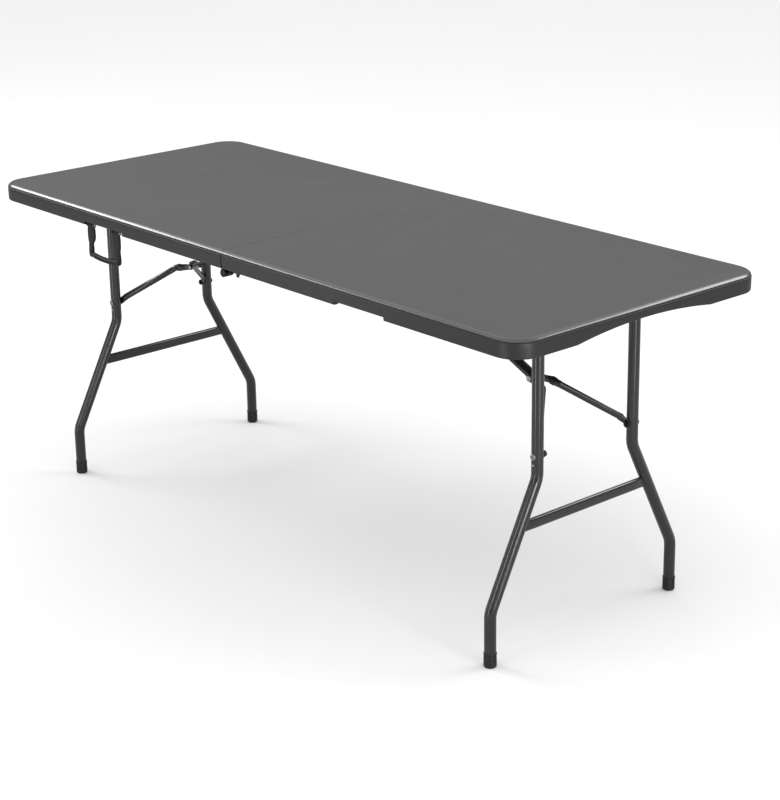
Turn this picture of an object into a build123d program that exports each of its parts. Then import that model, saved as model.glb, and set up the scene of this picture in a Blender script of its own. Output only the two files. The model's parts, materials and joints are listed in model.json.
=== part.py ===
from build123d import *
import os
from math import atan2, degrees, hypot, sqrt

# Folding table, 1.8 m long, folding in half across its middle.
# Origin on the floor under the table's centre, +X along its length, +Z up;
# the carry handle hangs on the long side that faces -Y.  Millimetres.
# Everything outboard of the middle is made once, for the right half, and mirrored to the left.

# ---------------------------------------------------------------- driving dimensions
LENGTH = 1800
WIDTH = 710
HEIGHT = 740
RIM_DEPTH = 40
RIM_WALL = 14
DECK = 16
CORNER_RADIUS = 58
EDGE_RADIUS = 6
SEAM_GAP = 2
SEAM_WALL = 10
SEAM_WALL_DEPTH = 8
SEAM_CORNER = 9

ARCH_HALF_SPAN = 192
ARCH_RISE = 15
NOTCH_START = 375
NOTCH_END = 527
NOTCH_HEIGHT = 7
POCKET_HEIGHT = 13
NOTCH_SKIN = 4

RAIL_WIDTH = 16
RAIL_CLEAR = 12
RAIL_LIFT = 2
RAIL_START = 16
RAIL_END = 800
SHEET = 2
SCREW_XS = [120, 330, 540, 680, 785]
SCREW_HEAD = 4.5
SCREW_HEAD_HEIGHT = 2
SCREW_SHANK = 2
SCREW_BITE = 9

LEG_X = 743
LEG_RADIUS = 12.5
TUBE_WALL = 1.5
LEG_TOP_Y = 140.5
FOOT_Y = 271.5
UPPER_BEND_Z = 374
LOWER_BEND_Z = 117
BEND_RADIUS = 55
PIVOT_Z = 704
PIVOT_RADIUS = 11
CROSSBAR_Z = 279
CROSSBAR_HEIGHT = 24
CROSSBAR_THICKNESS = 12
CAP_RADIUS = 14
CAP_HEIGHT = 32
CAP_FLOOR = 6
CAP_EDGE = 4
BRACKET = 3

STRUT_BOLT_Z = 421
JOINT_X = 594
JOINT_Z = 518
LINK_PIVOT_Z = 716
STRUT_RADIUS = 8
TAB = 3
TAB_RADIUS = 7.5
TAB_OVERLAP = 9
BOLT_CLEAR = 16
BOLT_HEAD = 7
BOLT_HEAD_HEIGHT = 2.6
NUT_HEIGHT = 5
STEM_ANGLE = 10
STEM_PLATE = 29
STEM_TUBE = 24
STEM_END = 48
STEM_Y = 22.5
STEM_BEND = 12
RIVET_HEAD = 6.5
FERRULE_WALL = 1.2
FERRULE_START = 29.3
FERRULE_LENGTH = 9.7
PIN_RADIUS = 4
RUNNING_FIT = 0.05
LINK_WIDTH = 25
LINK_HEIGHT = 8
LINK_EYE = 7
LINK_PIN = 2.5
FLANGE = 20
CHEEK_TOP = 18

HINGE_Z = 690
HINGE_EYE = 9
HINGE_PIN = 4
HINGE_BACK_HEAD = 6.5
LEAF = 6
LEAF_LENGTH = 95
LEAF_TOP_Z = 715

LATCH_X = 44
LATCH_Z = 706
LATCH_SHEET = 2.5
LATCH_TAB = 5

HANDLE_X = -461
HANDLE_WIDTH = 126
HANDLE_Y = -346
HANDLE_THICK = 8
HANDLE_PIVOT_Z = 701.5
HANDLE_BAR_Z = 631
HANDLE_ARM = 24
HANDLE_PIN = 2.5
GRIP_RADIUS = 6.5
GRIP_BOW = 5
STEP_Z = 652
CLIP_SHEET = 1.8
CLIP_LIP = 4.5

# ---------------------------------------------------------------- worked out from them
END_X = LENGTH / 2
SIDE_Y = WIDTH / 2
RIM_BOTTOM = HEIGHT - RIM_DEPTH
DECK_BOTTOM = HEIGHT - DECK
SEAM_X = SEAM_GAP / 2
INNER_Y = SIDE_Y - RIM_WALL
RAIL_Y = INNER_Y - RAIL_CLEAR - RAIL_WIDTH / 2
RAIL_OUTER = RAIL_Y + RAIL_WIDTH / 2
RAIL_INNER = RAIL_Y - RAIL_WIDTH / 2
RAIL_BOTTOM = RIM_BOTTOM + RAIL_LIFT

# The brace folds flat under the deck with the leg, so its inboard pivot is where the link
# reaches the strut joint both with the leg standing and with the leg folded away.
STRUT_RUN = LEG_X - JOINT_X
STRUT_RISE = JOINT_Z - STRUT_BOLT_Z
STRUT_SPAN = hypot(STRUT_RUN, STRUT_RISE)
FOLDED_BOLT_X = LEG_X - (PIVOT_Z - STRUT_BOLT_Z)
FOLDED_JOINT_X = FOLDED_BOLT_X + sqrt(STRUT_SPAN**2 - (LINK_PIVOT_Z - PIVOT_Z) ** 2)
LINK_DROP = LINK_PIVOT_Z - JOINT_Z
LINK_PIVOT_X = (FOLDED_JOINT_X**2 - JOINT_X**2 - LINK_DROP**2) / (2 * (FOLDED_JOINT_X - JOINT_X))
LINK_LENGTH = hypot(JOINT_X - LINK_PIVOT_X, LINK_DROP)
LINK_ANGLE = degrees(atan2(LINK_DROP, JOINT_X - LINK_PIVOT_X))

# The two struts of a brace run side by side for a short stem below their joint, then spread
# towards the legs.
STEM_ALONG = Vector(1, 0, 0).rotate(Axis.Y, STEM_ANGLE)
SPREAD = Vector(JOINT_X, 0, JOINT_Z) + STEM_ALONG * STEM_END
STRUT_ANGLE = degrees(atan2(SPREAD.Z - STRUT_BOLT_Z, LEG_X - SPREAD.X))

# Planes that follow the brace: local x runs outboard along the piece, local y is its height,
# and the plane's normal is the table's -Y.
JOINT = (JOINT_X, 0, JOINT_Z)
LINK_ALONG = Vector(1, 0, 0).rotate(Axis.Y, LINK_ANGLE)
STRUT_ALONG = Vector(1, 0, 0).rotate(Axis.Y, STRUT_ANGLE)
LINK_PLANE = Plane(origin=JOINT, x_dir=LINK_ALONG, z_dir=(0, -1, 0))
STEM_PLANE = Plane(origin=JOINT, x_dir=STEM_ALONG, z_dir=(0, -1, 0))
BOLT_PLANE = Plane(origin=(LEG_X, 0, STRUT_BOLT_Z), x_dir=STRUT_ALONG, z_dir=(0, -1, 0))

os.makedirs("parts", exist_ok=True)


def save(piece, name):
    """Label a finished piece and write it as one STEP file."""
    piece.label = name
    export_step(piece, f"parts/{name}.step")


def save_both_ends(piece, name):
    """Write a piece of the right half, and its mirror image for the left half."""
    save(piece, "right_" + name)
    save(mirror(piece, about=Plane.YZ), "left_" + name)


def y_cylinder(radius, x, z, y_from, y_to, mode=Mode.ADD):
    """Add a cylinder lying along Y to the part being built, or cut it out as a hole."""
    with BuildSketch(Plane.XZ.offset(-y_from)) as disc:
        with Locations((x, z)):
            Circle(radius)
    extrude(disc.sketch, amount=-(y_to - y_from), mode=mode)


# ---------------------------------------------------------------- tabletop half
def make_top():
    with BuildPart() as top:
        # Outer block: rounded at the two far corners, square at the seam.
        with BuildSketch(Plane.XY.offset(RIM_BOTTOM)) as outline:
            with Locations(((SEAM_X + END_X) / 2, 0)):
                Rectangle(END_X - SEAM_X, WIDTH)
            fillet(outline.vertices().group_by(Axis.X)[-1], CORNER_RADIUS)
        extrude(amount=RIM_DEPTH)
        top_edges = top.faces().sort_by(Axis.Z)[-1].edges()
        shoulder = top_edges.sort_by(Axis.X)[1:]
        fillet(shoulder, EDGE_RADIUS)
        # Recess under the deck, inside the rim.
        with BuildSketch(Plane.XY.offset(RIM_BOTTOM)) as recess:
            with Locations(((SEAM_WALL + END_X - RIM_WALL) / 2, 0)):
                Rectangle(END_X - RIM_WALL - SEAM_WALL, 2 * INNER_Y)
            fillet(recess.vertices().group_by(Axis.X)[-1], CORNER_RADIUS - RIM_WALL)
        extrude(amount=RIM_DEPTH - DECK, mode=Mode.SUBTRACT)
        # The wall along the seam is shallow, so that the hinge leaves pass under it.
        with BuildSketch(Plane.XY.offset(RIM_BOTTOM)):
            with Locations((SEAM_WALL / 2, 0)):
                Rectangle(SEAM_WALL + 2, 2 * INNER_Y)
        extrude(amount=RIM_DEPTH - DECK - SEAM_WALL_DEPTH, mode=Mode.SUBTRACT)
        # Rounded lower corner of each long rim where the halves meet.
        low_corners = top.edges().filter_by(Axis.Y).group_by(Axis.Z)[0].group_by(Axis.X)[0]
        fillet(low_corners, SEAM_CORNER)
        # Shallow arch along the bottom of the end rim.
        with BuildSketch(Plane.YZ.offset(END_X - RIM_WALL - CORNER_RADIUS)):
            with BuildLine():
                ThreePointArc(
                    (-ARCH_HALF_SPAN, RIM_BOTTOM), (0, RIM_BOTTOM + ARCH_RISE), (ARCH_HALF_SPAN, RIM_BOTTOM)
                )
                Line((ARCH_HALF_SPAN, RIM_BOTTOM), (-ARCH_HALF_SPAN, RIM_BOTTOM))
            make_face()
        extrude(amount=2 * CORNER_RADIUS, mode=Mode.SUBTRACT)
        # Finger notch in the rim on the handle side, with a deeper pocket behind its outer skin.
        notch_middle = (NOTCH_START + NOTCH_END) / 2
        notch_length = NOTCH_END - NOTCH_START
        with BuildSketch(Plane.XY.offset(RIM_BOTTOM)):
            with Locations((notch_middle, -(SIDE_Y + INNER_Y) / 2)):
                Rectangle(notch_length, RIM_WALL + 2)
        extrude(amount=NOTCH_HEIGHT, mode=Mode.SUBTRACT)
        with BuildSketch(Plane.XY.offset(RIM_BOTTOM)):
            with Locations((notch_middle, -(SIDE_Y - NOTCH_SKIN + INNER_Y - 1) / 2)):
                Rectangle(notch_length, RIM_WALL - NOTCH_SKIN + 1)
        extrude(amount=POCKET_HEIGHT, mode=Mode.SUBTRACT)
    return top.part


save_both_ends(make_top(), "top")


# ---------------------------------------------------------------- steel rails under the long sides
def make_rail(side):
    """Box-section rail along one long side; side is -1 for the handle side."""
    with BuildPart() as rail:
        with BuildSketch(Plane.YZ.offset(RAIL_START)):
            with Locations((side * RAIL_Y, (RAIL_BOTTOM + DECK_BOTTOM) / 2)):
                Rectangle(RAIL_WIDTH, DECK_BOTTOM - RAIL_BOTTOM)
                Rectangle(RAIL_WIDTH - 2 * SHEET, DECK_BOTTOM - RAIL_BOTTOM - 2 * SHEET, mode=Mode.SUBTRACT)
        extrude(amount=RAIL_END - RAIL_START)
    return rail.part


def make_rail_screws():
    """Pan-head screws that hold both rails up to the deck."""
    with BuildPart() as screws:
        spots = [(x, side * RAIL_Y) for x in SCREW_XS for side in (-1, 1)]
        with BuildSketch(Plane.XY.offset(RAIL_BOTTOM)):
            with Locations(*spots):
                Circle(SCREW_HEAD)
        extrude(amount=-SCREW_HEAD_HEIGHT)
        with BuildSketch(Plane.XY.offset(RAIL_BOTTOM)):
            with Locations(*spots):
                Circle(SCREW_SHANK)
        extrude(amount=DECK_BOTTOM - RAIL_BOTTOM + SCREW_BITE)
    return screws.part


save_both_ends(make_rail(-1), "front_rail")
save_both_ends(make_rail(1), "back_rail")
save_both_ends(make_rail_screws(), "rail_screws")


# ---------------------------------------------------------------- leg frame
BRACKET_Y = RAIL_INNER - BRACKET


def make_pivot_bracket(side):
    """Plate on the inner face of a rail that carries one end of the leg frame's pivot tube."""
    with BuildPart() as bracket:
        with BuildSketch(Plane.XZ.offset(-side * BRACKET_Y)):
            with BuildLine():
                Polyline(
                    (LEG_X - 30, DECK_BOTTOM), (LEG_X + 30, DECK_BOTTOM), (LEG_X + 17, PIVOT_Z - 8),
                    (LEG_X + 8, RIM_BOTTOM - 9), (LEG_X - 8, RIM_BOTTOM - 9), (LEG_X - 17, PIVOT_Z - 8), close=True
                )
            make_face()
            with Locations((LEG_X, PIVOT_Z)):
                Circle(PIVOT_RADIUS + RUNNING_FIT, mode=Mode.SUBTRACT)
        extrude(amount=-side * BRACKET)
    return bracket.part


def make_pivot_tube():
    with BuildPart() as tube:
        half = BRACKET_Y + BRACKET - 0.5
        with BuildSketch(Plane.XZ.offset(-half)):
            with Locations((LEG_X, PIVOT_Z)):
                Circle(PIVOT_RADIUS)
                Circle(PIVOT_RADIUS - TUBE_WALL, mode=Mode.SUBTRACT)
        extrude(amount=2 * half)
    return tube.part


def make_leg(side):
    """One bent leg tube, from its saddle on the pivot tube down to the foot."""
    with BuildPart() as leg:
        with BuildLine() as route:
            FilletPolyline(
                (LEG_X, side * LEG_TOP_Y, PIVOT_Z - 5),
                (LEG_X, side * LEG_TOP_Y, UPPER_BEND_Z),
                (LEG_X, side * FOOT_Y, LOWER_BEND_Z),
                (LEG_X, side * FOOT_Y, CAP_FLOOR),
                radius=BEND_RADIUS,
            )
        with BuildSketch(Plane(origin=route.line @ 0, z_dir=route.line % 0)):
            Circle(LEG_RADIUS)
            Circle(LEG_RADIUS - TUBE_WALL, mode=Mode.SUBTRACT)
        sweep()
        y_from = side * LEG_TOP_Y - 2 * LEG_RADIUS
        y_to = side * LEG_TOP_Y + 2 * LEG_RADIUS
        y_cylinder(PIVOT_RADIUS, LEG_X, PIVOT_Z, y_from, y_to, mode=Mode.SUBTRACT)
        y_cylinder(PIN_RADIUS, LEG_X, STRUT_BOLT_Z, y_from, y_to, mode=Mode.SUBTRACT)
    return leg.part


def leg_envelope(side):
    """The sloping stretch of a leg as a plain rod, used to shape the crossbar's ends."""
    with BuildPart() as rod:
        with BuildLine() as route:
            Line((LEG_X, side * LEG_TOP_Y, UPPER_BEND_Z), (LEG_X, side * FOOT_Y, LOWER_BEND_Z))
        with BuildSketch(Plane(origin=route.line @ 0, z_dir=route.line % 0)):
            Circle(LEG_RADIUS)
        sweep()
    return rod.part


def make_crossbar():
    """Flattened tube between the sloping stretches of the legs, its ends shaped to the tubes."""
    slope = (FOOT_Y - LEG_TOP_Y) / (UPPER_BEND_Z - LOWER_BEND_Z)
    half = LEG_TOP_Y + slope * (UPPER_BEND_Z - CROSSBAR_Z)
    with BuildPart() as bar:
        with BuildSketch(Plane.XZ.offset(-half)):
            with Locations((LEG_X, CROSSBAR_Z)):
                SlotOverall(CROSSBAR_HEIGHT, CROSSBAR_THICKNESS, rotation=90)
                SlotOverall(
                    CROSSBAR_HEIGHT - 2 * TUBE_WALL, CROSSBAR_THICKNESS - 2 * TUBE_WALL, rotation=90,
                    mode=Mode.SUBTRACT,
                )
        extrude(amount=2 * half)
        add(leg_envelope(-1), mode=Mode.SUBTRACT)
        add(leg_envelope(1), mode=Mode.SUBTRACT)
    return bar.part.solids().sort_by(SortBy.VOLUME)[-1]


def make_foot_caps():
    """Push-on feet: a closed bottom, a rounded lower edge and a collar at the top."""
    with BuildPart() as caps:
        for side in (-1, 1):
            with BuildSketch(Plane.XY):
                with Locations((LEG_X, side * FOOT_Y)):
                    Circle(CAP_RADIUS)
            extrude(amount=CAP_HEIGHT)
        fillet(caps.faces().group_by(Axis.Z)[0].edges(), CAP_EDGE)
        for side in (-1, 1):
            with BuildSketch(Plane.XY.offset(CAP_FLOOR)):
                with Locations((LEG_X, side * FOOT_Y)):
                    Circle(LEG_RADIUS)
            extrude(amount=CAP_HEIGHT, mode=Mode.SUBTRACT)
    return caps.part


save_both_ends(make_pivot_bracket(-1), "front_pivot_bracket")
save_both_ends(make_pivot_bracket(1), "back_pivot_bracket")
save_both_ends(make_pivot_tube(), "pivot_tube")
save_both_ends(make_leg(-1), "front_leg")
save_both_ends(make_leg(1), "back_leg")
save_both_ends(make_crossbar(), "leg_crossbar")
save_both_ends(make_foot_caps(), "foot_caps")

# ---------------------------------------------------------------- brace between legs and deck
BOLT_TAB_Y = LEG_TOP_Y - LEG_RADIUS - 0.3 - TAB
JOINT_TAB_Y = LINK_WIDTH / 2 + 1.5


def make_strut(side):
    """Strut tube, bent once, with a flattened tab on the leg bolt and one on the link joint."""
    stem_y = -side * STEM_Y
    low_y = -side * (BOLT_TAB_Y - 4)
    with BuildPart() as strut:
        with BuildLine() as route:
            FilletPolyline(
                BOLT_PLANE.from_local_coords((-BOLT_CLEAR, 0, low_y)),
                STEM_PLANE.from_local_coords((STEM_END, 0, stem_y)),
                STEM_PLANE.from_local_coords((STEM_TUBE, 0, stem_y)),
                radius=STEM_BEND,
            )
        with BuildSketch(Plane(origin=route.line @ 0, z_dir=route.line % 0)):
            Circle(STRUT_RADIUS)
        sweep()
        # Tab on the leg bolt.
        with BuildSketch(BOLT_PLANE.offset(-side * BOLT_TAB_Y)):
            Circle(TAB_RADIUS)
            with Locations((-(BOLT_CLEAR + TAB_OVERLAP) / 2, 0)):
                Rectangle(BOLT_CLEAR + TAB_OVERLAP, 2 * TAB_RADIUS)
            Circle(PIN_RADIUS, mode=Mode.SUBTRACT)
        extrude(amount=-side * TAB)
        # Tab on the link joint.
        with BuildSketch(STEM_PLANE.offset(-side * JOINT_TAB_Y)):
            Circle(TAB_RADIUS)
            with Locations((STEM_PLATE / 2, 0)):
                Rectangle(STEM_PLATE, 2 * TAB_RADIUS)
            Circle(PIN_RADIUS - RUNNING_FIT, mode=Mode.SUBTRACT)
        extrude(amount=-side * TAB)
    return strut.part


def make_strut_ferrules():
    """Black collars over the two strut tubes, where the stem ends."""
    with BuildPart() as ferrules:
        for side in (-1, 1):
            start = STEM_PLANE.from_local_coords((FERRULE_START, 0, side * STEM_Y))
            with BuildSketch(Plane(origin=start, z_dir=STEM_ALONG)):
                Circle(STRUT_RADIUS + FERRULE_WALL)
                Circle(STRUT_RADIUS, mode=Mode.SUBTRACT)
            extrude(amount=FERRULE_LENGTH)
    return ferrules.part


def make_strut_bolts():
    """Bolts through the legs and the strut tabs, with a round head outside and a nut inside."""
    with BuildPart() as bolts:
        for side in (-1, 1):
            outer = side * (LEG_TOP_Y + LEG_RADIUS)
            inner = side * BOLT_TAB_Y
            y_cylinder(PIN_RADIUS - RUNNING_FIT, LEG_X, STRUT_BOLT_Z, inner - side * 6, outer + side * 2)
            y_cylinder(BOLT_HEAD, LEG_X, STRUT_BOLT_Z, outer + side * 0.2, outer + side * BOLT_HEAD_HEIGHT)
            with BuildSketch(Plane.XZ.offset(-(inner - side * 0.3))):
                with Locations((LEG_X, STRUT_BOLT_Z)):
                    RegularPolygon(BOLT_HEAD, 6)
            extrude(amount=side * NUT_HEIGHT)
    return bolts.part


def make_joint_rivet():
    """Sleeve through the link, level with the two strut tabs."""
    with BuildPart() as sleeve:
        y_cylinder(PIN_RADIUS - RUNNING_FIT, JOINT_X, JOINT_Z, -LINK_WIDTH / 2 - 0.8, LINK_WIDTH / 2 + 0.8)
    return sleeve.part


def make_joint_rivet_heads():
    """The rivet's two domed heads, each set through its strut tab."""
    with BuildPart() as heads:
        for side in (-1, 1):
            face = side * (JOINT_TAB_Y + TAB)
            y_cylinder(PIN_RADIUS - RUNNING_FIT, JOINT_X, JOINT_Z, side * JOINT_TAB_Y, face)
            y_cylinder(RIVET_HEAD, JOINT_X, JOINT_Z, face, face + side * 2.5)
    return heads.part


def make_link():
    """Pressed channel from the strut joint up to its bracket under the deck."""
    half = LINK_HEIGHT / 2
    middle = -LINK_LENGTH / 2
    with BuildPart() as link:
        with BuildSketch(LINK_PLANE.offset(-LINK_WIDTH / 2)):
            with Locations((middle, 0)):
                SlotCenterToCenter(LINK_LENGTH, LINK_HEIGHT)
            Circle(LINK_EYE)
        extrude(amount=LINK_WIDTH)
        # Hollow of the channel, open downwards.
        with BuildSketch(LINK_PLANE.offset(-LINK_WIDTH / 2 + SHEET)):
            with Locations((middle, -half)):
                Rectangle(LINK_LENGTH + 60, 2 * (LINK_HEIGHT - SHEET))
        extrude(amount=LINK_WIDTH - 2 * SHEET, mode=Mode.SUBTRACT)
        # Bores for the joint sleeve and the bracket pin.
        with BuildSketch(LINK_PLANE.offset(-LINK_WIDTH)):
            Circle(PIN_RADIUS - RUNNING_FIT)
        extrude(amount=2 * LINK_WIDTH, mode=Mode.SUBTRACT)
        with BuildSketch(LINK_PLANE.offset(-LINK_WIDTH)):
            with Locations((-LINK_LENGTH, 0)):
                Circle(LINK_PIN)
        extrude(amount=2 * LINK_WIDTH, mode=Mode.SUBTRACT)
    return link.part


def make_link_pin():
    with BuildPart() as pin:
        y_cylinder(LINK_PIN - RUNNING_FIT, LINK_PIVOT_X, LINK_PIVOT_Z, -19, 19)
    return pin.part


def make_link_bracket():
    """Folded bracket under the deck: two cheeks for the pin and two screw flanges."""
    with BuildPart() as bracket:
        for side in (-1, 1):
            with BuildSketch(Plane.XZ.offset(-side * (LINK_WIDTH / 2 + 1))):
                with BuildLine():
                    Polyline(
                        (LINK_PIVOT_X - CHEEK_TOP, DECK_BOTTOM), (LINK_PIVOT_X + CHEEK_TOP, DECK_BOTTOM),
                        (LINK_PIVOT_X + 7, LINK_PIVOT_Z - 7), (LINK_PIVOT_X - 7, LINK_PIVOT_Z - 7), close=True
                    )
                make_face()
            extrude(amount=-side * SHEET)
            with BuildSketch(Plane.XY.offset(DECK_BOTTOM)):
                with Locations((LINK_PIVOT_X, side * (LINK_WIDTH + FLANGE + 4) / 2)):
                    Rectangle(2 * CHEEK_TOP, FLANGE)
            extrude(amount=-SHEET)
        with BuildSketch(Plane.XY.offset(DECK_BOTTOM)):
            with Locations((LINK_PIVOT_X, 0)):
                Rectangle(2 * CHEEK_TOP, LINK_WIDTH + 4)
        extrude(amount=-SHEET)
        y_cylinder(LINK_PIN - RUNNING_FIT, LINK_PIVOT_X, LINK_PIVOT_Z, -40, 40, mode=Mode.SUBTRACT)
    return bracket.part


save_both_ends(make_strut(-1), "front_strut")
save_both_ends(make_strut(1), "back_strut")
save_both_ends(make_strut_ferrules(), "strut_ferrules")
save_both_ends(make_strut_bolts(), "strut_bolts")
save_both_ends(make_joint_rivet(), "joint_sleeve")
save_both_ends(make_joint_rivet_heads(), "joint_rivet_heads")
save_both_ends(make_link(), "link")
save_both_ends(make_link_pin(), "link_pin")
save_both_ends(make_link_bracket(), "link_bracket")

# ---------------------------------------------------------------- middle hinges
LEFT_LEAF = (INNER_Y - LEAF, INNER_Y)
RIGHT_LEAF = (RAIL_OUTER, RAIL_OUTER + LEAF - 0.3)


def make_leaf(side, x_sign, y_span):
    """Flat hinge leaf: an eye on the fold axis and a strap running back beside the rim."""
    y_low, y_high = sorted((side * y_span[0], side * y_span[1]))
    with BuildPart() as leaf:
        with BuildSketch(Plane.XZ.offset(-y_low)):
            with Locations((0, HINGE_Z)):
                Circle(HINGE_EYE)
            with BuildLine():
                Polyline(
                    (0, HINGE_Z - HINGE_EYE), (x_sign * 12, HINGE_Z - 3), (x_sign * 30, RAIL_BOTTOM),
                    (x_sign * LEAF_LENGTH, RAIL_BOTTOM), (x_sign * LEAF_LENGTH, LEAF_TOP_Z),
                    (x_sign * 12, LEAF_TOP_Z), (0, HINGE_Z + HINGE_EYE), close=True
                )
            make_face()
            with Locations((0, HINGE_Z)):
                Circle(HINGE_PIN if x_sign < 0 else HINGE_PIN + RUNNING_FIT, mode=Mode.SUBTRACT)
        extrude(amount=-(y_high - y_low))
    return leaf.part


def make_hinge_pin(side):
    """Shouldered hinge pin with a large round outer head just under the rim."""
    with BuildPart() as pin:
        y_cylinder(HINGE_PIN, 0, HINGE_Z, side * (RAIL_OUTER - 1), side * (SIDE_Y - 3))
        y_cylinder(HINGE_EYE, 0, HINGE_Z, side * (INNER_Y + 0.3), side * (SIDE_Y - 3))
        y_cylinder(HINGE_BACK_HEAD, 0, HINGE_Z, side * (RAIL_OUTER - 3), side * (RAIL_OUTER - 0.3))
    return pin.part


for word, side in (("front", -1), ("back", 1)):
    save(make_leaf(side, -1, LEFT_LEAF), f"left_{word}_hinge_leaf")
    save(make_leaf(side, 1, RIGHT_LEAF), f"right_{word}_hinge_leaf")
    save(make_hinge_pin(side), f"{word}_hinge_pin")

# ---------------------------------------------------------------- fold latch beside the front hinge
LATCH_Y = -(RIGHT_LEAF[1] + 0.3)


def make_latch_lever():
    """Sprung steel lever that reaches back over the front hinge eye."""
    with BuildPart() as lever:
        with BuildSketch(Plane.XZ.offset(-(LATCH_Y - LATCH_SHEET))):
            with BuildLine():
                Polyline(
                    (LATCH_X - 6, LATCH_Z + 5), (LATCH_X + 6, LATCH_Z + 5), (LATCH_X + 5, LATCH_Z - 5),
                    (LATCH_X - 6, LATCH_Z - 18), (LATCH_X - 17, LATCH_Z - 15),
                    (LATCH_X - 31, LATCH_Z - 8), (LATCH_X - 31, LATCH_Z - 4),
                    (LATCH_X - 14, LATCH_Z - 8), close=True
                )
            make_face()
            with Locations((LATCH_X, LATCH_Z)):
                Circle(HANDLE_PIN + RUNNING_FIT, mode=Mode.SUBTRACT)
        extrude(amount=-LATCH_SHEET)
    return lever.part


def make_latch_tab():
    """Moulded thumb tab on the lever's lower end."""
    with BuildPart() as tab:
        with BuildSketch(Plane.XZ.offset(-(LATCH_Y - LATCH_TAB))):
            with BuildLine():
                Polyline(
                    (LATCH_X - 6, LATCH_Z - 10), (LATCH_X - 1, LATCH_Z - 12), (LATCH_X - 4, LATCH_Z - 21),
                    (LATCH_X - 14, LATCH_Z - 19), close=True
                )
            make_face()
        extrude(amount=LATCH_SHEET - LATCH_TAB)
    return tab.part


def make_latch_pin():
    with BuildPart() as pin:
        y_cylinder(HANDLE_PIN, LATCH_X, LATCH_Z, -INNER_Y + 0.2, LATCH_Y + 0.3)
    return pin.part


save(make_latch_lever(), "latch_lever")
save(make_latch_tab(), "latch_tab")
save(make_latch_pin(), "latch_pin")

# ---------------------------------------------------------------- carry handle
HANDLE_LEFT = HANDLE_X - HANDLE_WIDTH / 2
ARM_XS = [HANDLE_X - (HANDLE_WIDTH - HANDLE_ARM) / 2, HANDLE_X + (HANDLE_WIDTH - HANDLE_ARM) / 2]


def make_handle():
    """Moulded bail: two arms that narrow at a step, and a bowed grip with raised ribs."""
    front_face = HANDLE_Y - HANDLE_THICK / 2
    grip_half = HANDLE_WIDTH / 2 - 7
    with BuildPart() as handle:
        for arm_x, outward in zip(ARM_XS, (-1, 1)):
            outer = arm_x + outward * HANDLE_ARM / 2
            inner = arm_x - outward * HANDLE_ARM / 2
            with BuildSketch(Plane.XZ.offset(-front_face)):
                with BuildLine():
                    Polyline(
                        (outer, HANDLE_PIVOT_Z), (inner, HANDLE_PIVOT_Z), (inner, HANDLE_PIVOT_Z - 22),
                        (inner + outward * 6, STEP_Z + 6), (inner + outward * 9, STEP_Z - 2),
                        (inner + outward * 7, HANDLE_BAR_Z), (outer - outward * 2, HANDLE_BAR_Z),
                        (outer - outward * 1, STEP_Z), close=True
                    )
                make_face()
            extrude(amount=-HANDLE_THICK)
            with BuildSketch(Plane.YZ.offset(arm_x - HANDLE_ARM / 2)):
                with Locations((HANDLE_Y, HANDLE_PIVOT_Z)):
                    Circle(HANDLE_THICK / 2)
            extrude(amount=HANDLE_ARM)
        with BuildLine() as grip_line:
            ThreePointArc(
                (HANDLE_X - grip_half, HANDLE_Y, HANDLE_BAR_Z),
                (HANDLE_X, HANDLE_Y, HANDLE_BAR_Z - GRIP_BOW),
                (HANDLE_X + grip_half, HANDLE_Y, HANDLE_BAR_Z),
            )
        with BuildSketch(Plane(origin=grip_line.line @ 0, z_dir=grip_line.line % 0)):
            Circle(GRIP_RADIUS)
        sweep()
        with BuildSketch(Plane.YZ.offset(HANDLE_LEFT - 1)):
            with Locations((HANDLE_Y, HANDLE_PIVOT_Z)):
                Circle(HANDLE_PIN + RUNNING_FIT)
        extrude(amount=HANDLE_WIDTH + 2, mode=Mode.SUBTRACT)
    return handle.part


def make_handle_pins():
    with BuildPart() as pins:
        for arm_x in ARM_XS:
            with BuildSketch(Plane.YZ.offset(arm_x - HANDLE_ARM / 2 - 2.5)):
                with Locations((HANDLE_Y, HANDLE_PIVOT_Z)):
                    Circle(HANDLE_PIN)
            extrude(amount=HANDLE_ARM + 5)
    return pins.part


def make_handle_clips():
    """Two folded clips in the rim pocket, with a cheek on each side of an arm."""
    roof = RIM_BOTTOM + POCKET_HEIGHT
    with BuildPart() as clips:
        for arm_x in ARM_XS:
            with BuildSketch(Plane.XY.offset(roof)):
                with Locations((arm_x, HANDLE_Y)):
                    Rectangle(HANDLE_ARM + 5, HANDLE_THICK)
            extrude(amount=-CLIP_SHEET)
            for cheek in (-1, 1):
                with BuildSketch(Plane.YZ.offset(arm_x + cheek * (HANDLE_ARM / 2 + 0.7))):
                    with Locations((HANDLE_Y, (HANDLE_PIVOT_Z - CLIP_LIP + roof) / 2)):
                        Rectangle(HANDLE_THICK, roof - HANDLE_PIVOT_Z + CLIP_LIP)
                    with Locations((HANDLE_Y, HANDLE_PIVOT_Z)):
                        Circle(HANDLE_PIN, mode=Mode.SUBTRACT)
                extrude(amount=cheek * CLIP_SHEET)
    return clips.part


save(make_handle(), "carry_handle")
save(make_handle_pins(), "handle_pins")
save(make_handle_clips(), "handle_clips")
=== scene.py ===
"""Looks of a folding table: moulded top halves, bent steel legs, braces, handle and fasteners.

Metres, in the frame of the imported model; a length given in millimetres goes through mm().
"""

import json
from math import cos, pi, radians, sin, sqrt

import bmesh
import bpy
from mathutils import Matrix, Vector

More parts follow.
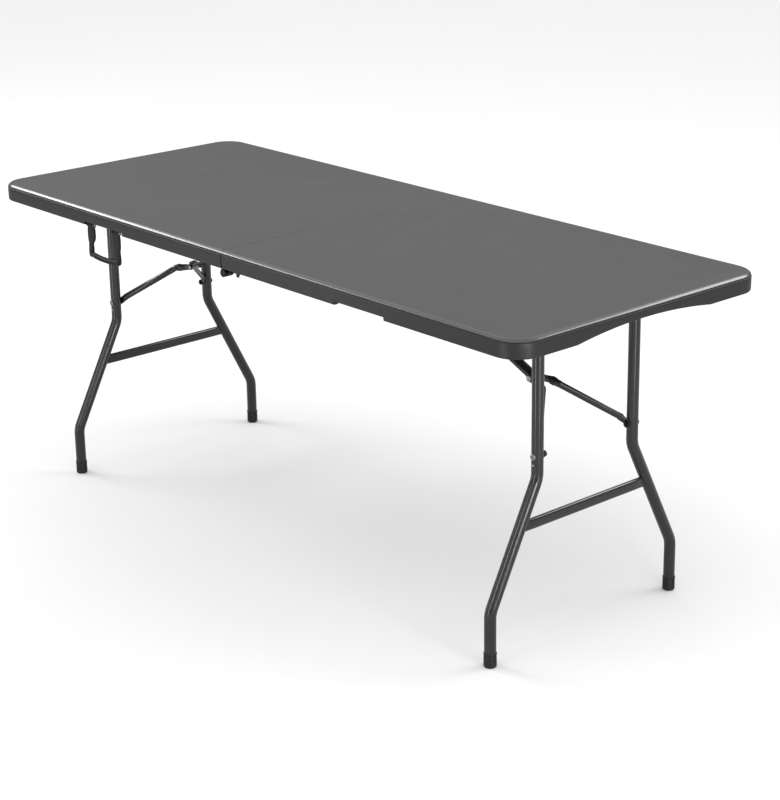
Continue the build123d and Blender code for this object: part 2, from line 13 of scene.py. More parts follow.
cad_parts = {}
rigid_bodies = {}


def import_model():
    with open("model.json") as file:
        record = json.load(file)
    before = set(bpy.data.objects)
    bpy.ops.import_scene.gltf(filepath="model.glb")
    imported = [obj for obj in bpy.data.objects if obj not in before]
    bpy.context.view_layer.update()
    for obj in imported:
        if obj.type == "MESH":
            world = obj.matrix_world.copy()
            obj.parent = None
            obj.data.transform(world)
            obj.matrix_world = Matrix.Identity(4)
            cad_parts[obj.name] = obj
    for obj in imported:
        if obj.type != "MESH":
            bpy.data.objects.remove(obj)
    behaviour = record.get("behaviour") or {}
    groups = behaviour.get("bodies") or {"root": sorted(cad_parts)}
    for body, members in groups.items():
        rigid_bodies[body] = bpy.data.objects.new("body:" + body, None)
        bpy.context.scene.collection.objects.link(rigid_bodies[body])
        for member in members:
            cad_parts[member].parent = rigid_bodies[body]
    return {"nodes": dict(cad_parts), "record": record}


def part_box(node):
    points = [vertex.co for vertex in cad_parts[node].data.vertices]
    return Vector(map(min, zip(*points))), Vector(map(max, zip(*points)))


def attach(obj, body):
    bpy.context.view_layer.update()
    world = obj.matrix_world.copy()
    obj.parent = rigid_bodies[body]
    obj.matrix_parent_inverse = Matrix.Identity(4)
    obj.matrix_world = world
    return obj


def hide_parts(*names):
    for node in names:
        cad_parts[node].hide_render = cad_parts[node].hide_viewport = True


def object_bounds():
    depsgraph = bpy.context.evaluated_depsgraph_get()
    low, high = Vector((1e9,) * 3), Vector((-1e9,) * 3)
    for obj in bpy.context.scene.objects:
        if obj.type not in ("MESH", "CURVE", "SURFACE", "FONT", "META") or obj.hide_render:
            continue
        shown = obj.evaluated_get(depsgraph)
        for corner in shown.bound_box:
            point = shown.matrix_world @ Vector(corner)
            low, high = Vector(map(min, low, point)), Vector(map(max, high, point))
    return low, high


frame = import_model()
cad_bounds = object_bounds()
SIDES = (("right", 1), ("left", -1))


def mm(*values):
    """Millimetres to metres: one number, or a vector from three."""
    if len(values) == 1:
        return values[0] / 1000
    return Vector(values) / 1000


def middle(node):
    low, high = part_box(node)
    return (low + high) / 2


# ------------------------------------------------------------------ finishes
class Value:
    """A shader socket. Arithmetic on it adds Math nodes to its finish."""

    def __init__(self, finish, socket):
        self.finish = finish
        self.socket = socket

    def maths(self, operation, first, second):
        return self.finish.add("ShaderNodeMath", {"operation": operation}, {0: first, 1: second})

    def __add__(self, other):
        return self.maths("ADD", self, other)

    def __radd__(self, other):
        return self.maths("ADD", other, self)

    def __sub__(self, other):
        return self.maths("SUBTRACT", self, other)

    def __rsub__(self, other):
        return self.maths("SUBTRACT", other, self)

    def __mul__(self, other):
        return self.maths("MULTIPLY", self, other)

    def __rmul__(self, other):
        return self.maths("MULTIPLY", other, self)

    def __pow__(self, other):
        return self.maths("POWER", self, other)

    def __rpow__(self, other):
        return self.maths("POWER", other, self)


class Finish:
    """One procedural material built round a Principled shader."""

    def __init__(self, name, **constants):
        self.material = bpy.data.materials.new(name)
        self.material.use_nodes = True
        self.tree = self.material.node_tree
        self.shader = self.tree.nodes["Principled BSDF"]
        self.set(**constants)

    def add(self, kind, settings=None, inputs=None, output=0):
        """Adds a node: settings first, then the values or links of its sockets."""
        node = self.tree.nodes.new(kind)
        for key, value in (settings or {}).items():
            if key == "stops":
                for element, (position, level) in zip(node.color_ramp.elements, value):
                    element.position = position
                    element.color = (level, level, level, 1)
            else:
                setattr(node, key, value)
        for key, value in (inputs or {}).items():
            self.feed(node.inputs[key], value)
        return Value(self, node.outputs[output])

    def feed(self, socket, value):
        if isinstance(value, Value):
            self.tree.links.new(value.socket, socket)
        elif isinstance(value, tuple) and len(value) == 3 and socket.type == "RGBA":
            socket.default_value = (*value, 1)
        else:
            socket.default_value = value

    def set(self, **inputs):
        """Feeds the shader's sockets; an underscore in a name stands for a space."""
        for key, value in inputs.items():
            self.feed(self.shader.inputs[key.replace("_", " ")], value)

    def place(self):
        return self.add("ShaderNodeTexCoord", output="Object")

    def noise(self, scale, detail=2, stretch=(1, 1, 1)):
        """Noise over the piece's own metres, from 0 to 1."""
        where = self.add("ShaderNodeMapping", {}, {"Vector": self.place(), "Scale": stretch})
        return self.add("ShaderNodeTexNoise", {}, {"Vector": where, "Scale": scale, "Detail": detail})

    def ramp(self, value, low, high):
        """0 under low, 1 over high, straight between."""
        limits = {"From Min": low, "From Max": high}
        return self.add("ShaderNodeMapRange", {"clamp": True}, {"Value": value, **limits})

    def height(self):
        """Height above the floor, in metres."""
        return self.add("ShaderNodeSeparateXYZ", {}, {0: self.place()}, output="Z")

    def blend(self, factor, first, second):
        return self.add("ShaderNodeMix", {"data_type": "RGBA"}, {0: factor, 6: first, 7: second}, output=2)

    def bump(self, height, distance, strength=1.0):
        return self.add("ShaderNodeBump", {}, {"Height": height, "Distance": distance, "Strength": strength})


def grey(level):
    """A neutral colour a touch warm, from a display level of 0 to 255."""
    linear = (level / 255) ** 2.2
    return (linear, linear * 0.995, linear * 0.99)


def moulded_plastic(name, level, roughness, grain_size, grain_depth, coat=0.0, scuffs=0.0):
    """Moulded polyethylene: fine pebble grain, soft cloudy tone, and a few dull scuffs."""
    finish = Finish(name, IOR=1.5, Coat_Roughness=0.2, Specular_IOR_Level=0.5)
    clouds = finish.noise(14, 4)
    pebbles = finish.noise(1 / grain_size, 2)
    fine = finish.noise(2.6 / grain_size, 1)
    scratches = finish.ramp(finish.noise(60, 5, (1, 9, 9)), 0.62, 0.75)
    tone = finish.ramp(clouds, 0.3, 0.7)
    base = finish.blend(tone, grey(level * 0.97), grey(level * 1.03))
    worn = finish.blend(scratches * scuffs, base, grey(level * 1.35))
    rough = roughness + (clouds - 0.5) * 0.10 + (pebbles - 0.5) * 0.12 + scratches * scuffs * 0.15
    grain = pebbles * 0.7 + fine * 0.3
    finish.set(Base_Color=worn, Roughness=rough, Coat_Weight=coat, Normal=finish.bump(grain, grain_depth))
    return finish.material


def powder_coat(name, level, roughness, coat=0.3, metallic=0.0):
    """Baked powder coat on steel: orange peel, faint mottling, drawn streaks and rubbed spots."""
    finish = Finish(name, IOR=1.5, Coat_Roughness=0.08, Specular_IOR_Level=0.6)
    peel = finish.noise(650, 2)
    mottle = finish.noise(38, 4)
    rubbed = finish.ramp(finish.noise(210, 4, (1, 1, 0.25)), 0.68, 0.8)
    base = finish.blend(finish.ramp(mottle, 0.3, 0.7), grey(level * 0.92), grey(level * 1.08))
    worn = finish.blend(rubbed * 0.1, base, grey(level * 1.5))
    rough = roughness + (mottle - 0.5) * 0.12 + rubbed * 0.12
    finish.set(Base_Color=worn, Roughness=rough, Metallic=metallic, Coat_Weight=coat)
    finish.set(Normal=finish.bump(peel, mm(0.02)))
    return finish.material


def zinc(name, level, roughness):
    """Zinc-plated steel: cloudy bright plating with fine turning marks."""
    finish = Finish(name, Metallic=1.0)
    spangle = finish.noise(420, 4)
    marks = finish.noise(2600, 2, (0.2, 0.2, 1))
    base = finish.blend(finish.ramp(spangle, 0.35, 0.65), grey(level * 0.86), grey(level))
    finish.set(Base_Color=base, Roughness=roughness + (spangle - 0.5) * 0.25)
    finish.set(Normal=finish.bump(marks * 0.5 + spangle * 0.5, mm(0.02)))
    return finish.material


def black_rubber(name, level):
    """Black moulded feet, dusty and scuffed close to the floor."""
    finish = Finish(name, IOR=1.48)
    cast = finish.noise(900, 3)
    dust = (1 - finish.ramp(finish.height(), 0.001, 0.02)) * finish.ramp(finish.noise(150, 4), 0.4, 0.65)
    base = finish.blend(dust * 0.5, grey(level), grey(level * 2.1))
    finish.set(Base_Color=base, Roughness=0.42 + dust * 0.35 + (cast - 0.5) * 0.15)
    finish.set(Normal=finish.bump(cast, mm(0.05)))
    return finish.material


# The rim is the same moulded plastic as the top panel, set much darker: painted shade of the upright rim
# faces.
PANEL = moulded_plastic("top_panel_plastic", 72, 0.5, 0.0011, mm(0.05), scuffs=0.12)
SHOULDER = moulded_plastic("shoulder_plastic", 60, 0.2, 0.0011, mm(0.01), coat=0.6)
RIM_PAINTED_SHADE = moulded_plastic("rim_plastic_painted_shade", 42, 0.42, 0.0009, mm(0.03), scuffs=0.06)
UNDERSIDE = moulded_plastic("underside_plastic", 52, 0.55, 0.0022, mm(0.12), scuffs=0.05)
HANDLE = moulded_plastic("handle_black_plastic", 18, 0.5, 0.0008, mm(0.05), scuffs=0.2)
STEEL = powder_coat("leg_powder_coat", 36, 0.22, coat=0.6)
BLACK_STEEL = powder_coat("bracket_black_coat", 26, 0.34)
ZINC = zinc("zinc_fastener", 200, 0.3)
DARK_ZINC = zinc("blackened_bolt", 60, 0.3)
BOLT_STEEL = zinc("bolt_head_steel", 175, 0.2)
FOOT = black_rubber("foot_cap_plastic", 30)
FINISH_OF_SLOT = {
    "tabletop": RIM_PAINTED_SHADE,
    "frame_steel": STEEL,
    "black_hardware": BLACK_STEEL,
    "bright_fasteners": ZINC,
    "black_caps": FOOT,
    "handle_plastic": HANDLE,
}


# ------------------------------------------------------------------ making meshes
def finish_piece(piece, body, replaces=(), crease=35):
    """Closes a mesh, turns its faces outwards, shades it smooth up to a crease and rides it."""
    mesh = bmesh.new()
    mesh.from_mesh(piece.data)
    bmesh.ops.remove_doubles(mesh, verts=mesh.verts, dist=1e-6)
    bmesh.ops.dissolve_degenerate(mesh, edges=mesh.edges, dist=1e-7)
    bmesh.ops.recalc_face_normals(mesh, faces=mesh.faces)
    mesh.to_mesh(piece.data)
    mesh.free()
    piece.data.shade_smooth()
    piece.data.set_sharp_from_angle(angle=radians(crease))
    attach(piece, body)
    if replaces:
        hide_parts(*replaces)
    return piece


def new_piece(name, shapes, materials):
    """One mesh object from (vertices, faces, material number) shapes."""
    vertices, faces, numbers = [], [], []
    for shape_vertices, shape_faces, number in shapes:
        first = len(vertices)
        vertices += [tuple(v) for v in shape_vertices]
        faces += [[first + i for i in face] for face in shape_faces]
        numbers += [number] * len(shape_faces) if isinstance(number, int) else number
    data = bpy.data.meshes.new(name)
    data.from_pydata(vertices, [], faces)
    for material in materials:
        data.materials.append(material)
    data.polygons.foreach_set("material_index", numbers)
    piece = bpy.data.objects.new(name, data)
    bpy.context.scene.collection.objects.link(piece)
    return piece


def skin(rings, number=0, ends=True):
    """A closed skin over rings that all have the same number of points."""
    count = len(rings[0])
    vertices = [v for ring in rings for v in ring]
    faces = []
    for row in range(len(rings) - 1):
        for i in range(count):
            j = (i + 1) % count
            faces.append((row * count + i, row * count + j, (row + 1) * count + j, (row + 1) * count + i))
    if ends:
        faces.append(tuple(range(count))[::-1])
        faces.append(tuple((len(rings) - 1) * count + i for i in range(count)))
    return vertices, faces, number


def oval(centre, u, v, half_u, half_v, power=2.0, count=40):
    """Ring of a superellipse: power 2 is an ellipse, and a higher one is squarer."""
    ring = []
    for i in range(count):
        angle = 2 * pi * i / count
        c, s = cos(angle), sin(angle)
        cu = abs(c) ** (2 / power) * (1 if c >= 0 else -1)
        cv = abs(s) ** (2 / power) * (1 if s >= 0 else -1)
        ring.append(centre + u * (half_u * cu) + v * (half_v * cv))
    return ring


def across(axis, hint):
    """Two unit vectors square to axis, the first as near to hint as can be."""
    axis = axis.normalized()
    u = (hint - axis * hint.dot(axis)).normalized()
    return u, axis.cross(u)


def lathe(profile, origin, axis, number=0, count=32):
    """Solid of revolution: profile is (distance along the axis, radius) in millimetres."""
    axis = axis.normalized()
    u, v = across(axis, Vector((0.3, 0.2, 1)))
    return skin([oval(origin + axis * mm(a), u, v, mm(r), mm(r), count=count) for a, r in profile], number)


def bent_path(points, radius, steps=12):
    """The points joined by straight runs, with an arc of that radius at each inner point."""
    path = [points[0]]
    for before, corner, after in zip(points, points[1:], points[2:]):
        a = (before - corner).normalized()
        b = (after - corner).normalized()
        half = a.angle(b) / 2
        reach = radius / (sin(half) / cos(half))
        centre = corner + (a + b).normalized() * (radius / sin(half))
        start = corner + a * reach - centre
        end = corner + b * reach - centre
        turn = start.angle(end)
        for i in range(steps + 1):
            t = i / steps
            path.append(centre + (start * sin((1 - t) * turn) + end * sin(t * turn)) / sin(turn))
    return path + [points[-1]]


def tube(path, radius, hint, number=0, count=40):
    """Round tube along a path that lies square to hint."""
    rings = []
    for i, point in enumerate(path):
        ahead = path[min(i + 1, len(path) - 1)] - path[max(i - 1, 0)]
        u, v = across(ahead, hint)
        rings.append(oval(point, u, v, radius, radius, count=count))
    return skin(rings, number)


def softened(node, body, material, width=0.5, segments=2, name=None):
    """A copy of a CAD node with its flat faces rejoined and its edges slightly rounded."""
    data = frame["nodes"][node].data.copy()
    mesh = bmesh.new()
    mesh.from_mesh(data)
    bmesh.ops.remove_doubles(mesh, verts=mesh.verts, dist=1e-6)
    bmesh.ops.dissolve_limit(mesh, angle_limit=radians(0.5), verts=mesh.verts, edges=mesh.edges)
    mesh.to_mesh(data)
    mesh.free()
    data.materials.clear()
    data.materials.append(material)
    rough = bpy.data.objects.new("rough_" + node, data)
    bpy.context.scene.collection.objects.link(rough)
    bevel = rough.modifiers.new("edges", "BEVEL")
    bevel.width = mm(width)
    bevel.segments = segments
    bevel.limit_method = "ANGLE"
    bevel.angle_limit = radians(40)
    bevel.use_clamp_overlap = True
    baked = bpy.data.meshes.new_from_object(rough.evaluated_get(bpy.context.evaluated_depsgraph_get()))
    bpy.data.objects.remove(rough)
    piece = bpy.data.objects.new(name or node + "_finished", baked)
    bpy.context.scene.collection.objects.link(piece)
    return finish_piece(piece, body, [node])


# ------------------------------------------------------------------ geometry node trees
def node_tree(name, numbers, others):
    """An empty geometry tree with named inputs; returns it, its input node and its output node."""
    tree = bpy.data.node_groups.new(name, "GeometryNodeTree")
    tree.interface.new_socket("Geometry", in_out="OUTPUT", socket_type="NodeSocketGeometry")
    tree.interface.new_socket("Geometry", in_out="INPUT", socket_type="NodeSocketGeometry")
    for label in numbers:
        tree.interface.new_socket(label, in_out="INPUT", socket_type="NodeSocketFloat")
    for label, kind in others.items():
        tree.interface.new_socket(label, in_out="INPUT", socket_type=kind)
    return tree, tree.nodes.new("NodeGroupInput"), tree.nodes.new("NodeGroupOutput")


def grown(name, tree, spots, values):
    """Runs a tree on a mesh of loose points and returns the plain mesh object that it makes."""
    seed = bpy.data.meshes.new(name)
    seed.from_pydata([tuple(at) for at, facing in spots], [], [])
    facing_of = seed.attributes.new("facing", "FLOAT_VECTOR", "POINT")
    for item, (at, facing) in zip(facing_of.data, spots):
        item.vector = facing
    holder = bpy.data.objects.new(name + "_spots", seed)
    bpy.context.scene.collection.objects.link(holder)
    modifier = holder.modifiers.new("grow", "NODES")
    modifier.node_group = tree
    for item in tree.interface.items_tree:
        if item.in_out == "INPUT" and item.name in values:
            modifier[item.identifier] = values[item.name]
    bpy.context.view_layer.update()
    made = bpy.data.meshes.new_from_object(holder.evaluated_get(bpy.context.evaluated_depsgraph_get()))
    bpy.data.objects.remove(holder)
    piece = bpy.data.objects.new(name, made)
    bpy.context.scene.collection.objects.link(piece)
    return piece


def repeat_tree():
    """Puts a copy of the Master object at every point, its +Z turned along the point's facing."""
    others = {"Master": "NodeSocketObject", "Finish": "NodeSocketMaterial"}
    tree, given, out = node_tree("repeat_at_points", ["Size"], others)
    info = tree.nodes.new("GeometryNodeObjectInfo")
    facing = tree.nodes.new("GeometryNodeInputNamedAttribute")
    facing.data_type = "FLOAT_VECTOR"
    facing.inputs["Name"].default_value = "facing"
    turn = tree.nodes.new("FunctionNodeAlignRotationToVector")
    turn.axis = "Z"
    points = tree.nodes.new("GeometryNodeMeshToPoints")
    place = tree.nodes.new("GeometryNodeInstanceOnPoints")
    real = tree.nodes.new("GeometryNodeRealizeInstances")
    paint = tree.nodes.new("GeometryNodeSetMaterial")
    join = tree.links.new
    join(given.outputs["Geometry"], points.inputs["Mesh"])
    join(given.outputs["Master"], info.inputs["Object"])
    join(facing.outputs["Attribute"], turn.inputs["Vector"])
    join(points.outputs["Points"], place.inputs["Points"])
    join(info.outputs["Geometry"], place.inputs["Instance"])
    join(turn.outputs["Rotation"], place.inputs["Rotation"])
    join(given.outputs["Size"], place.inputs["Scale"])
    join(place.outputs["Instances"], real.inputs["Geometry"])
    join(real.outputs["Geometry"], paint.inputs["Geometry"])
    join(given.outputs["Finish"], paint.inputs["Material"])
    join(paint.outputs["Geometry"], out.inputs["Geometry"])
    return tree


def stud_tree():
    """Shallow moulded studs, one at each point: low cones that point down."""
    numbers = ["Radius", "Top Radius", "Depth"]
    tree, given, out = node_tree("moulded_studs", numbers, {"Finish": "NodeSocketMaterial"})
    points = tree.nodes.new("GeometryNodeMeshToPoints")
    cone = tree.nodes.new("GeometryNodeMeshCone")
    cone.inputs["Vertices"].default_value = 16
    place = tree.nodes.new("GeometryNodeInstanceOnPoints")
    place.inputs["Rotation"].default_value = (pi, 0, 0)
    real = tree.nodes.new("GeometryNodeRealizeInstances")
    paint = tree.nodes.new("GeometryNodeSetMaterial")
    join = tree.links.new
    join(given.outputs["Geometry"], points.inputs["Mesh"])
    join(given.outputs["Radius"], cone.inputs["Radius Bottom"])
    join(given.outputs["Top Radius"], cone.inputs["Radius Top"])
    join(given.outputs["Depth"], cone.inputs["Depth"])
    join(points.outputs["Points"], place.inputs["Points"])
    join(cone.outputs["Mesh"], place.inputs["Instance"])
    join(place.outputs["Instances"], real.inputs["Geometry"])
    join(real.outputs["Geometry"], paint.inputs["Geometry"])
    join(given.outputs["Finish"], paint.inputs["Material"])
    join(paint.outputs["Geometry"], out.inputs["Geometry"])
    return tree


REPEAT = repeat_tree()
STUDS = stud_tree()


def master(name, shapes):
    """A hidden shape at the origin, for the repeat tree to copy."""
    piece = new_piece(name, shapes, [ZINC])
    bpy.context.scene.collection.objects.unlink(piece)
    return piece


def repeated(name, shape, spots, material, body, replaces=(), size=1.0, crease=35):
    values = {"Master": shape, "Finish": material, "Size": size}
    return finish_piece(grown(name, REPEAT, spots, values), body, replaces, crease)


# ------------------------------------------------------------------ top halves
END_X, SIDE_Y = cad_bounds[1].x, cad_bounds[1].y
SEAM_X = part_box("right_top")[0].x
CORNER = mm(58)
DECK_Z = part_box("right_front_rail")[1].z
ARCH_HALF_SPAN = mm(192)
ARCH_RISE = mm(15)
NOTCH = (mm(375), mm(527))
NOTCH_LIFT = mm(7)
POCKET_LIFT = mm(13)
SEAM_CORNER = mm(9)
SEAM_LIFT = mm(16)
# The halves' edges at the seam, in millimetres: wide at the top, close over the shoulder,
# set back on the rim.
SEAM_LIP = 3.2
LIP_START, LIP_HEIGHT = 738.4, 1.6
SHOULDER_BOTTOM = 731
SHOULDER_DRAW_IN = 0.7
RIM_SET_BACK = 0.5
WALL = mm(14)


def rim_profile():
    """Rows of (inset, height, seam inset, lifts with the rim's bottom edge) down and round the rim."""
    rows = [(13.0, 740.0, 1.2, 0), (12.2, 739.82, 1.1, 0), (11.4, 739.7, 1.0, 0), (10.4, 739.7, 1.0, 0)]
    rows += [(9.6, 739.82, 1.0, 0), (8.8, 739.98, 0.9, 0)]
    rows += [(7.6, 739.85, 0, 0), (6.6, 739.4, 0, 0), (5.4, 738.6, 0, 0), (4.2, 737.7, 0, 0)]
    rows += [(3.0, 736.7, 0, 0), (2.0, 735.7, 0, 0), (1.3, 734.6, 0, 0)]
    rows += [(1.0, 733.6, 0, 0), (1.3, 733.2, 0, 0), (2.1, 732.9, 0, 0), (2.1, 732.4, 0, 0)]
    rows += [(0.9, 731.9, 0, 0), (0.25, 731.3, 0, 0), (0.0, 730.4, 0, 0), (0.0, 722.0, 0, 0)]
    rows += [(0.2, 704.0, 0, 1), (0.4, 702.4, 0, 1), (0.9, 701.2, 0.1, 1), (1.7, 700.4, 0.3, 1)]
    rows += [(2.8, 700.0, 0.5, 1), (4.0, 700.0, 0.8, 1), (4.2, 700.0, 1.0, 2), (11.4, 700.0, 6.0, 2)]
    rows += [(12.8, 700.5, 7.6, 2), (13.6, 701.6, 8.4, 2), (14.0, 704.0, 9.0, 2), (14.4, 721.6, 9.3, 0)]
    rows += [(15.2, 723.2, 10, 0), (17.5, 724.0, 12, 0)]
    profile = []
    for inset, z, seam, lift in rows:
        lip = max(seam, SEAM_LIP * (z - LIP_START) / LIP_HEIGHT)
        lip -= SHOULDER_DRAW_IN if z > SHOULDER_BOTTOM else -RIM_SET_BACK
        profile.append((mm(inset), mm(z), mm(lip), lift))
    return profile


def rim_stations():
    """Places round a half's outline, each a kind of edge and a position along it."""
    xs = [1, 1.6, 2.5, 4, 6, 8, 10, 14, 40, 100, 200, 300]
    xs += [374, 374.6, 375.2, 376, 450, 526, 526.8, 527.4, 528, 600, 700, 790]
    stations = [("front", mm(x)) for x in xs]
    stations += [("front_corner", radians(5 * i)) for i in range(19)]
    stations += [("end", mm(192) * i / 16) for i in range(-22, 23)]
    stations += [("back_corner", radians(5 * i)) for i in range(19)]
    stations += [("back", mm(x)) for x in reversed(xs)]
    stations += [("seam", mm(y)) for y in (354, 348, 341.6, 340.6, 300, 200, 100, 0)]
    return stations + [("seam", mm(-y)) for y in (100, 200, 300, 340.6, 341.6, 348, 354)]


def rim_point(station, row):
    kind, at = station
    inset, z, seam_inset, lifts = row
    corner = CORNER - inset
    seam = SEAM_X + seam_inset
    if kind in ("front", "back"):
        y = SIDE_Y - inset
        x = max(at, seam)
        point = Vector((x, -y if kind == "front" else y, z))
    elif kind == "front_corner":
        point = Vector((END_X - CORNER + corner * sin(at), -(SIDE_Y - CORNER + corner * cos(at)), z))
    elif kind == "back_corner":
        point = Vector((END_X - CORNER + corner * cos(at), SIDE_Y - CORNER + corner * sin(at), z))
    elif kind == "end":
        reach = SIDE_Y - CORNER
        point = Vector((END_X - inset, max(-reach, min(reach, at)), z))
    else:
        reach = SIDE_Y - inset
        point = Vector((seam, max(-reach, min(reach, at)), z))
    if lifts:
        point.z += rim_lift(kind, point, lifts)
    return point


def rim_lift(kind, point, lifts):
    """How far the rim's bottom edge stands above its lowest level: arch, notch and seam corners."""
    if kind == "end" and abs(point.y) < ARCH_HALF_SPAN:
        return ARCH_RISE * (1 - (point.y / ARCH_HALF_SPAN) ** 2)
    if kind == "front" and NOTCH[0] - mm(0.1) < point.x < NOTCH[1] + mm(0.1):
        return NOTCH_LIFT if lifts == 1 else POCKET_LIFT
    if kind == "seam" and abs(point.y) < SIDE_Y - WALL:
        return SEAM_LIFT
    from_seam = point.x - SEAM_X
    if from_seam < SEAM_CORNER:
        return SEAM_CORNER - sqrt(SEAM_CORNER**2 - (SEAM_CORNER - from_seam) ** 2)
    return 0


def make_top(side, sign):
    profile = rim_profile()
    stations = rim_stations()
    rings = [[rim_point(station, row) for station in stations] for row in profile]
    rings = [[Vector((sign * p.x, p.y, p.z)) for p in ring] for ring in rings]
    vertices, faces, _ = skin(rings)
    per_row = len(stations)
    last_rim_row = len(profile) - 4
    numbers = []
    for i in range(len(faces) - 2):
        row = i // per_row
        # Rows 15 up to the last rim row take the rim's darker copy of the plastic, which paints shade on the
        # rim's faces.
        numbers.append(0 if row < 4 else 1 if row < 15 else 2 if row < last_rim_row else 3)
    shape = (vertices, faces, numbers + [0, 3])
    piece = new_piece(side + "_tabletop", [shape], [PANEL, SHOULDER, RIM_PAINTED_SHADE, UNDERSIDE])
    return finish_piece(piece, side + "_half", [side + "_top"], crease=26)


def make_studs(side, sign):
    """Rows of moulded studs over the underside, clear of the rails, brackets and folded brace."""
    spots = []
    columns, rows = 25, 17
    bracket_x = abs(middle(side + "_link_bracket").x)
    for i in range(columns):
        for j in range(rows):
            x = mm(40) + (END_X - mm(80)) * i / (columns - 1)
            y = (j - (rows - 1) / 2) * mm(34)
            near_corner = x > mm(815) and abs(y) > mm(240)
            if abs(y) < mm(30) or near_corner or (abs(x - bracket_x) < mm(30) and abs(y) < mm(50)):
                continue
            spots.append(((sign * x, y, DECK_Z + mm(0.2)), (0, 0, -1)))
    values = {"Radius": mm(7), "Top Radius": mm(4.5), "Depth": mm(1.5), "Finish": UNDERSIDE}
    studs = grown(side + "_underside_studs", STUDS, spots, values)
    return finish_piece(studs, side + "_half", crease=50)


for side, sign in SIDES:
    make_top(side, sign)
    make_studs(side, sign)

# ------------------------------------------------------------------ legs
LEG_RADIUS = mm(12.5)
BEND_RADIUS = mm(55)
UPPER_BEND_Z = mm(374)
LOWER_BEND_Z = mm(117)
LEG_X = middle("right_pivot_tube").x
PIVOT_Z = middle("right_pivot_tube").z
LEG_TOP_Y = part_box("right_back_leg")[0].y + LEG_RADIUS
FOOT_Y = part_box("right_back_leg")[1].y - LEG_RADIUS


def make_legs(side, sign):
    for word, y_sign in (("front", -1), ("back", 1)):
        corners = [(LEG_TOP_Y, PIVOT_Z - mm(4)), (LEG_TOP_Y, UPPER_BEND_Z)]
        corners += [(FOOT_Y, LOWER_BEND_Z), (FOOT_Y, mm(7))]
        points = [Vector((sign * LEG_X, y_sign * y, z)) for y, z in corners]
        path = bent_path(points, BEND_RADIUS)
        shapes = [tube(path, LEG_RADIUS, Vector((1, 0, 0)), count=48)]
        # Weld bead where the leg meets the pivot tube.
        rings = []
        top = Vector((sign * LEG_X, y_sign * LEG_TOP_Y, PIVOT_Z))
        for i in range(7):
            angle = pi * i / 6
            level = mm(-10.5) + mm(2.2) * cos(angle)
            wide = LEG_RADIUS + mm(1.8) * sin(angle)
            rings.append(oval(top + Vector((0, 0, level)), Vector((1, 0, 0)), Vector((0, 1, 0)), wide, wide))
        shapes.append(skin(rings))
        piece = new_piece(f"{side}_{word}_leg_tube", shapes, [STEEL])
        finish_piece(piece, side + "_legs", [f"{side}_{word}_leg"])


def make_crossbar(side, sign):
    """Flattened tube whose ends are pressed into upright blades against the legs."""
    low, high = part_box(side + "_leg_crossbar")
    z = (low.z + high.z) / 2
    half = high.y - mm(2)
    half_height = mm(12)
    rows = [(-half, 3.4, 3.5), (-half + mm(9), 3.4, 3.5), (-half + mm(16), 4.2, 3.0)]
    rows += [(-half + mm(30), 6, 2.6), (-half + mm(36), 6, 2.6)]
    rows += [(-y, thick, power) for y, thick, power in reversed(rows)]
    across, up = Vector((1, 0, 0)), Vector((0, 0, 1))
    skins = [
        oval(Vector((sign * LEG_X, y, z)), across, up, mm(thick), half_height, power, 48)
        for y, thick, power in rows
    ]
    piece = new_piece(side + "_crossbar", [skin(skins)], [STEEL])
    finish_piece(piece, side + "_legs", [side + "_leg_crossbar"], crease=50)


def make_feet(side, sign):
    """Push-on caps with a rounded sole, a slight taper and a rolled collar."""
    profile = [(0, 0.5), (0, 9.5), (0.4, 11.4), (1.6, 12.9), (3.4, 13.5), (5, 13.6)]
    profile += [(5.4, 13.2), (5.9, 13.2), (6.3, 13.6), (26.5, 13.4), (27, 13.1), (27.4, 13.1)]
    profile += [(27.9, 13.6), (28.4, 14), (30.6, 14), (31.4, 13.7), (32, 13.1), (32, 12.4)]
    up = Vector((0, 0, 1))
    shapes = [lathe(profile, Vector((sign * LEG_X, y, 0)), up, count=48) for y in (-FOOT_Y, FOOT_Y)]
    piece = new_piece(side + "_feet", shapes, [FOOT])
    finish_piece(piece, side + "_legs", [side + "_foot_caps"])


def domed_head(radius, height):
    """Round head on +Z: short upright side, then a dome with a shallow central dimple."""
    profile = [(-0.6, radius * 0.5), (0, radius * 0.96), (0.2, radius), (height * 0.35, radius)]
    for i in range(1, 7):
        angle = radians(15 * i)
        profile.append((height * (0.35 + 0.65 * sin(angle)), max(radius * cos(angle), radius * 0.12)))
    profile += [(height * 0.93, radius * 0.1), (height * 0.93, 0.02)]
    return lathe(profile, Vector(), Vector((0, 0, 1)), count=28)


def hex_head(radius, height):
    """Six-sided nut on +Z with chamfered corners and the bolt's end showing."""
    rings = []
    for z, spread in ((0, 0.92), (0.35, 1), (height - 0.5, 1), (height, 0.9)):
        ring = []
        for i in range(24):
            angle = 2 * pi * i / 24
            corner = (angle + pi / 6) % (pi / 3) - pi / 6
            flat = radius * cos(pi / 6) / cos(corner)
            reach = min(flat, radius * spread)
            ring.append(Vector((mm(reach * cos(angle)), mm(reach * sin(angle)), mm(z))))
        rings.append(ring)
    profile = [(height - 0.2, 3.9), (height + 1.4, 3.9), (height + 1.9, 3.3), (height + 1.9, 0.02)]
    end = lathe(profile, Vector(), Vector((0, 0, 1)))
    return [skin(rings), end]


def screw_head(radius, height):
    """Pan head on +Z with a round recess in its top."""
    profile = [(-0.4, radius * 0.8), (0, radius), (height * 0.45, radius)]
    profile += [(height * 0.8, radius * 0.86), (height, radius * 0.55), (height, radius * 0.5)]
    profile += [(height * 0.45, radius * 0.34), (height * 0.45, 0.02)]
    return lathe(profile, Vector(), Vector((0, 0, 1)), count=20)


BOLT_HEAD = master("bolt_head_master", [domed_head(7, 2.6)])
NUT = master("nut_master", hex_head(7, 5))
SCREW = master("screw_master", [screw_head(4.5, 2)])
RIVET = master("rivet_master", [domed_head(6.5, 2.5)])
BUTTON = master("snap_button_master", [domed_head(2.6, 1.4)])


